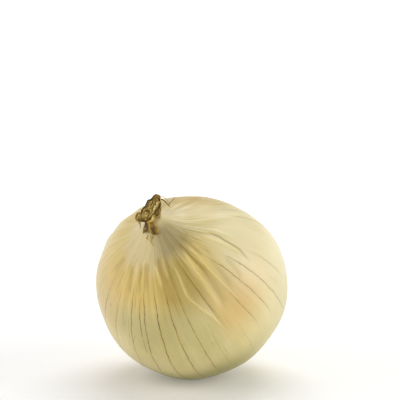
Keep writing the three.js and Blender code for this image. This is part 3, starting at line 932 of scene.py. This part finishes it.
# A closed wall with a torn rim, calmer on its far side and at one end.
def wallRule(number, u, v):
    halfLength, halfWidth, rim, flare, fold = neckForm["walls"][number]
    turn = 2 * math.pi * u
    east, north = np.cos(turn), np.sin(turn)
    rough = softNoise(east * 2.08, north * 2.08, v * 1.17, 3 + number)
    crease = softNoise(east * 3.6, north * 3.6, v * 0.5, 11 + number)
    folds = 1 + fold * v * (np.sin(7 * turn + 0.4) + 1.8 * crease)
    along, over = ovalPlace(turn, halfLength, halfWidth, folds, flare * v**2)
    near = np.clip(-north, 0, 1) ** 2
    far = np.clip(north, 0, 1)
    calm = 1 - 0.8 * np.maximum(far, np.clip(east, 0, 1) ** 2)
    tear = 0.14 * np.sin(3 * turn + 2 * number) * np.cos(8 * turn + number) + 0.26 * crease + 0.2 * rough
    top = rim * (1 + tear * calm) + neckForm["tilt"] * along - 0.5 * near
    height = blendTo(0.4 if number else neckForm["foot"], top, v)
    # Painted shade low in the tuft, lighter towards the rim, then darker at the rim itself, more on the far
    # side.
    tone = 0.34 + 0.34 * ease(v, 0.5, 0.85) + 0.6 * rough - (0.35 + 0.45 * far) * ease(v, 0.88, 1.0)
    # The outer wall's near side is painted with the shadow cast by the fold above it.
    if number == 0:
        tone = tone - near * (0.22 - 0.5 * crease)
    return tuftPlace(along, over, height), tone, 0


# A sheet that stands along the tuft, with a ragged crown that curls over.
def sheetRule(number, u, v):
    first, last, over, foot, top, curl = neckForm["sheets"][number]
    along = blendTo(first, last, u)
    wave = softNoise(along * 0.5, v * 0.6, 0, 31 + number)
    ragged = softNoise(along * 1.4, 0, 0, 47 + number)
    fine = softNoise(along * 1.7, v * 1.8, 0, 53 + number)
    ends = np.sin(math.pi * np.clip(u, 0.03, 0.97)) ** 0.4
    crown = foot + (top + neckForm["tilt"] * along - foot) * ends * (1 + 0.2 * ragged)
    bow = np.clip((v - 0.5) / 0.5, 0, 1) * math.pi * 0.7
    radius = abs(curl) * ends
    height = foot + (crown - foot - radius) * np.minimum(v / 0.5, 1) + radius * np.sin(bow) + 0.35 * fine * v
    side = over + 0.6 * wave + 0.3 * fine + math.copysign(1, curl) * radius * (1 - np.cos(bow))
    side = side * np.clip(1 - np.abs(along / 6.8) ** 3, 0.1, 1) ** 0.4
    # Painted shade low in the tuft, lighter up the sheet, and darker along the ragged crown.
    tone = 0.31 + 0.44 * ease(v, 0.35, 0.6) + 0.4 * wave + 0.6 * fine - 0.65 * ease(v, 0.9, 1.0)
    return tuftPlace(along, side, height), tone, 0


# The torn flap that hangs on the shoulder of the neck.
def flapRule(u, v):
    hang = neckForm["flap"]
    corners = [np.array(hang[name])[:, None] for name in ("topLeft", "topRight", "bottomLeft", "bottomRight")]
    east, north = blendTo(blendTo(*corners[:2], u), blendTo(*corners[2:], u), v)
    crumple = softNoise(u * 6.6, v * 4.4, 0, 61)
    torn = 0.9 * hump((u - 0.3) / 0.06) + 0.25 * np.abs(np.sin(9 * u)) + 0.5 * softNoise(u * 9, 0, 0, 63)
    further = v * (hang["bow"] * (1 - (2 * u - 1) ** 2) - torn)
    lift = 0.5 + hang["lift"] * v**2 + 0.3 * crumple + 0.22 * v * np.sin(13 * u)
    lift = lift + hang["curl"] * v * np.clip(u - 0.65, 0, 1) ** 2 * 4
    places = skinPlace((np.hypot(east, north) + further) * degree, np.arctan2(north, east), lift)
    middleStripe = 0.36 * hump((u - 0.5 + 0.08 * v) / 0.1)
    rightEdge = 0.3 * hump((u - 0.97) / 0.1)
    tone = 0.08 + 0.14 * ease(u, 0.3, 0.6) + middleStripe + rightEdge + 0.25 * crumple
    tone = tone - 0.2 * ease(v, 0.95, 1.0) - 0.1 * ease(v, 0.3, 0.0)
    return places, tone, 0


# A torn thread's swinging course over the skin, which it nears towards its end.
def threadCourse(nearAzimuth, near, farAzimuth, far):
    shares = np.linspace(0, 1, 6)
    swing = 3.5 * np.sin(shares * 9 + far)
    azimuth = (blendTo(nearAzimuth, farAzimuth, shares) + swing) * degree
    lift = 0.9 - 0.5 * shares + 0.3 * np.sin(shares * 11 + near)
    return skinPlace(blendTo(near, far, shares) * degree, azimuth, lift)


def makeDryNeck():
    form = neckForm
    size = form["mesh"]
    build = startPaper()
    addSheet(build, *size["bed"], bedRule)
    for number in range(len(form["walls"])):
        addSheet(build, *size["wall"], partial(wallRule, number), form["paper"])
    for number in range(len(form["sheets"])):
        addSheet(build, *size["sheet"], partial(sheetRule, number), form["paper"])
    addSheet(build, *size["flap"], flapRule, form["paper"])
    for row in form["looseEnds"]:
        addStrand(build, neckTip + row[4:], *row[:4], sides=8, steps=18)
    for start, end, fresh in form["threads"]:
        addStrand(build, threadCourse(*start, *end), *form["threadShape"], fresh, steps=20)
    addPiece("driedNeck", meshFrom(build, "driedNeck"), paperShade(), "dry_neck")


makeDryNeck()
print("dried neck made")

# The root end in millimetres: a lumpy corky plate, short stubs of dried rootlets all over it, and finer
# ones that lie matted over the stubs.
rootForm = {
    "plateRadius": 7.6,
    "plateHeight": 2.1,
    "sink": 0.5,
    "reach": 7.1,
    "splay": 1.35,
    "seed": 7,
    "rootlets": [
        {"count": 210, "shortest": 1.7, "longest": 4.4, "radius": 0.36, "bend": 1.5, "tones": (0.2, 0.85)},
        {"count": 80, "shortest": 4.0, "longest": 6.5, "radius": 0.2, "bend": 2.6, "tones": (0.45, 0.95)},
    ],
    "tones": [(0.0, "33230F"), (0.3, "664A22"), (0.6, "9C7B45"), (1.0, "CDB583")],
}
plateMiddle = bulbForm["basinDepth"] - bulbTop - rootForm["sink"]
goldenTurn = 2.39996  # radians


def rootShade():
    shade = Shade("driedRoot")
    tone, along = (shade.attribute(name) for name in ("tone", "along"))
    grain = shade.noise(shade.node("TexCoord", out="Object"), 700.0, 4.0, 0.65)
    shade.set("Base Color", shade.ramp(tone + (grain - 0.5) * 0.5 + along * 0.12, rootForm["tones"]))
    shade.set("Roughness", grain * 0.2 + 0.7)
    shade.set("Normal", shade.bump(grain, 0.5, 0.0003))
    return shade.material


def plateRule(u, v):
    turn, rise = 2 * math.pi * u, math.pi * (v - 0.5)
    east, north = np.cos(turn), np.sin(turn)
    ring = [east * np.cos(rise) * 3, north * np.cos(rise) * 3, v * 2]
    lumps = 1 + 0.22 * softNoise(*ring, 71) + 0.12 * softNoise(*(3 * value for value in ring), 73)
    across = rootForm["plateRadius"] * np.cos(rise) * lumps
    height = plateMiddle + rootForm["plateHeight"] * np.sin(rise) * lumps
    return np.stack([across * east, across * north, height], axis=-1), 0.14 + 1.2 * (lumps - 1), 0


# The course of a rootlet: it leaves the plate the more to the side, the further out it grows.
def rootletCourse(draw, rule, number):
    share = (number + 0.5) / rule["count"]
    reach = rootForm["reach"] * math.sqrt(share)
    turn = number * goldenTurn + draw.uniform(-0.3, 0.3)
    length = draw.uniform(rule["shortest"], rule["longest"]) * (1 - 0.2 * share)
    outward = np.array([math.cos(turn), math.sin(turn), 0.0])
    around = np.array([-math.sin(turn), math.cos(turn), 0.0])
    fall = rootForm["plateHeight"] * math.sqrt(max(0.0, 1 - (reach / rootForm["plateRadius"]) ** 2))
    start = outward * reach + np.array([0, 0, plateMiddle - fall + 0.7])
    splay = rootForm["splay"] * math.sqrt(share) + draw.uniform(-0.35, 0.35)
    heading = outward * math.sin(splay) + np.array([0, 0, -math.cos(splay)])
    swing = around * draw.uniform(-1, 1) * rule["bend"]
    droop = np.cross(heading, around) * draw.uniform(-0.5, 1) * rule["bend"]
    wave = around * draw.uniform(-0.5, 0.5)
    return [
        start + heading * length * t + (swing + droop) * t * t + wave * math.sin(5 * t)
        for t in (0, 0.3, 0.6, 0.85, 1)
    ]


def makeRoots():
    build = startPaper()
    addSheet(build, 72, 30, plateRule)
    draw = random.Random(rootForm["seed"])
    for rule in rootForm["rootlets"]:
        for number in range(rule["count"]):
            points = rootletCourse(draw, rule, number)
            radius = rule["radius"] * draw.uniform(0.7, 1.2)
            addStrand(build, points, radius, radius * 0.45, 1.0, draw.uniform(*rule["tones"]))
    addPiece("driedRoots", meshFrom(build, "driedRoots"), rootShade(), "root_tuft")


makeRoots()
print("roots made")

# The camera, in millimetres, degrees and the pixels of a square frame, where the middle of the bulb
# stands in the given column and row. The floor, in metres, is a wide bowl that glows more far out. A
# softbox has a place, a size and a power.
studio = {
    "sight": 360.0,
    "elevation": 8.0,
    "focalPixels": 760.0,
    "framePixels": 400.0,
    "bulbColumn": 191.4,
    "bulbRow": 284.6,
    "floorReach": 2.2,
    "floorDrop": 0.0001,
    "sweep": 0.6,
    "wallTop": 1.1,
    "floorTone": 0.92,
    "nearGlow": 0.12,
    "farGlow": 0.58,
    "glowReach": (0.25, 1.5),
    "world": 0.31,
    "aim": (0, 0, 0.045),
    "softboxes": {
        "rightBox": ((0.95, -0.25, 0.45), (0.5, 0.8), 2.9),
        "leftBox": ((-0.95, -0.2, 0.6), (0.5, 0.8), 2.0),
        "topBox": ((0.1, 0.5, 1.0), (0.9, 0.6), 6.0),
    },
}


def makeCamera():
    data = bpy.data.cameras.new("camera")
    data.sensor_width = 36.0
    data.lens = data.sensor_width * studio["focalPixels"] / studio["framePixels"]
    camera = addToScene("camera", data)
    elevation = studio["elevation"] * degree
    centre = studio["framePixels"] / 2
    yaw = -math.atan((studio["bulbColumn"] - centre) / studio["focalPixels"])
    pitch = -elevation + math.atan((studio["bulbRow"] - centre) / studio["focalPixels"])
    ahead = Vector((math.sin(yaw) * math.cos(pitch), math.cos(yaw) * math.cos(pitch), math.sin(pitch)))
    back = Vector((0, -math.cos(elevation), math.sin(elevation)))
    camera.location = (Vector(stance["middle"]) + studio["sight"] * back) * millimetre
    camera.rotation_euler = ahead.to_track_quat("-Z", "Y").to_euler()
    bpy.context.scene.camera = camera


def makeSoftboxes():
    for name, (place, size, power) in studio["softboxes"].items():
        data = bpy.data.lights.new(name, "AREA")
        data.shape = "RECTANGLE"
        data.size, data.size_y = size
        data.energy = power
        light = addToScene(name, data)
        light.location = place
        light.rotation_euler = (Vector(studio["aim"]) - light.location).to_track_quat("-Z", "Y").to_euler()


def floorShade():
    shade = Shade("paleFloor", Roughness=0.7, Emission_Strength=1.0)
    tone, near, far = ((studio[name],) * 3 + (1,) for name in ("floorTone", "nearGlow", "farGlow"))
    x, y = shade.parts(shade.node("TexCoord", out="Object"))[:2]
    away = (x * x + y * y).root().ease(*studio["glowReach"])
    shade.set("Base Color", tone)
    shade.set("Emission Color", shade.blend(away, near, far))
    return shade.material


# A flat floor that sweeps up into a low wall all round, a spun profile.
def makeFloor():
    rim, bend = studio["floorReach"], studio["sweep"]
    turns = [i * math.pi / 24 for i in range(13)]
    profile = [(0.0, 0.0), (rim * 0.2, 0.0), (rim * 0.6, 0.0)]
    profile += [(rim + bend * math.sin(turn), bend * (1 - math.cos(turn))) for turn in turns]
    profile.append((rim + bend, studio["wallTop"]))
    build = bmesh.new()
    chain = [build.verts.new((reach, 0, height)) for reach, height in profile]
    edges = [build.edges.new(pair) for pair in zip(chain, chain[1:])]
    bmesh.ops.spin(build, geom=chain + edges, axis=(0, 0, 1), angle=2 * math.pi, steps=72, use_merge=True)
    bmesh.ops.remove_doubles(build, verts=build.verts, dist=1e-5)
    bmesh.ops.recalc_face_normals(build, faces=build.faces)
    if sum(face.normal.z for face in build.faces) < 0:
        bmesh.ops.reverse_faces(build, faces=build.faces)
    mesh = meshFrom(build, "floor")
    mesh.shade_smooth()
    mesh.materials.append(floorShade())
    floor = addToScene("floor", mesh)
    floor.location.z = -studio["floorDrop"]


def makeWorld():
    world = bpy.data.worlds.new("studioWorld")
    bpy.context.scene.world = world
    world.use_nodes = True
    background = world.node_tree.nodes["Background"]
    background.inputs["Color"].default_value = (1, 1, 1, 1)
    background.inputs["Strength"].default_value = studio["world"]
    bpy.context.scene.view_settings.view_transform = "Standard"


makeCamera()
makeFloor()
makeSoftboxes()
makeWorld()
print("camera and lights set")
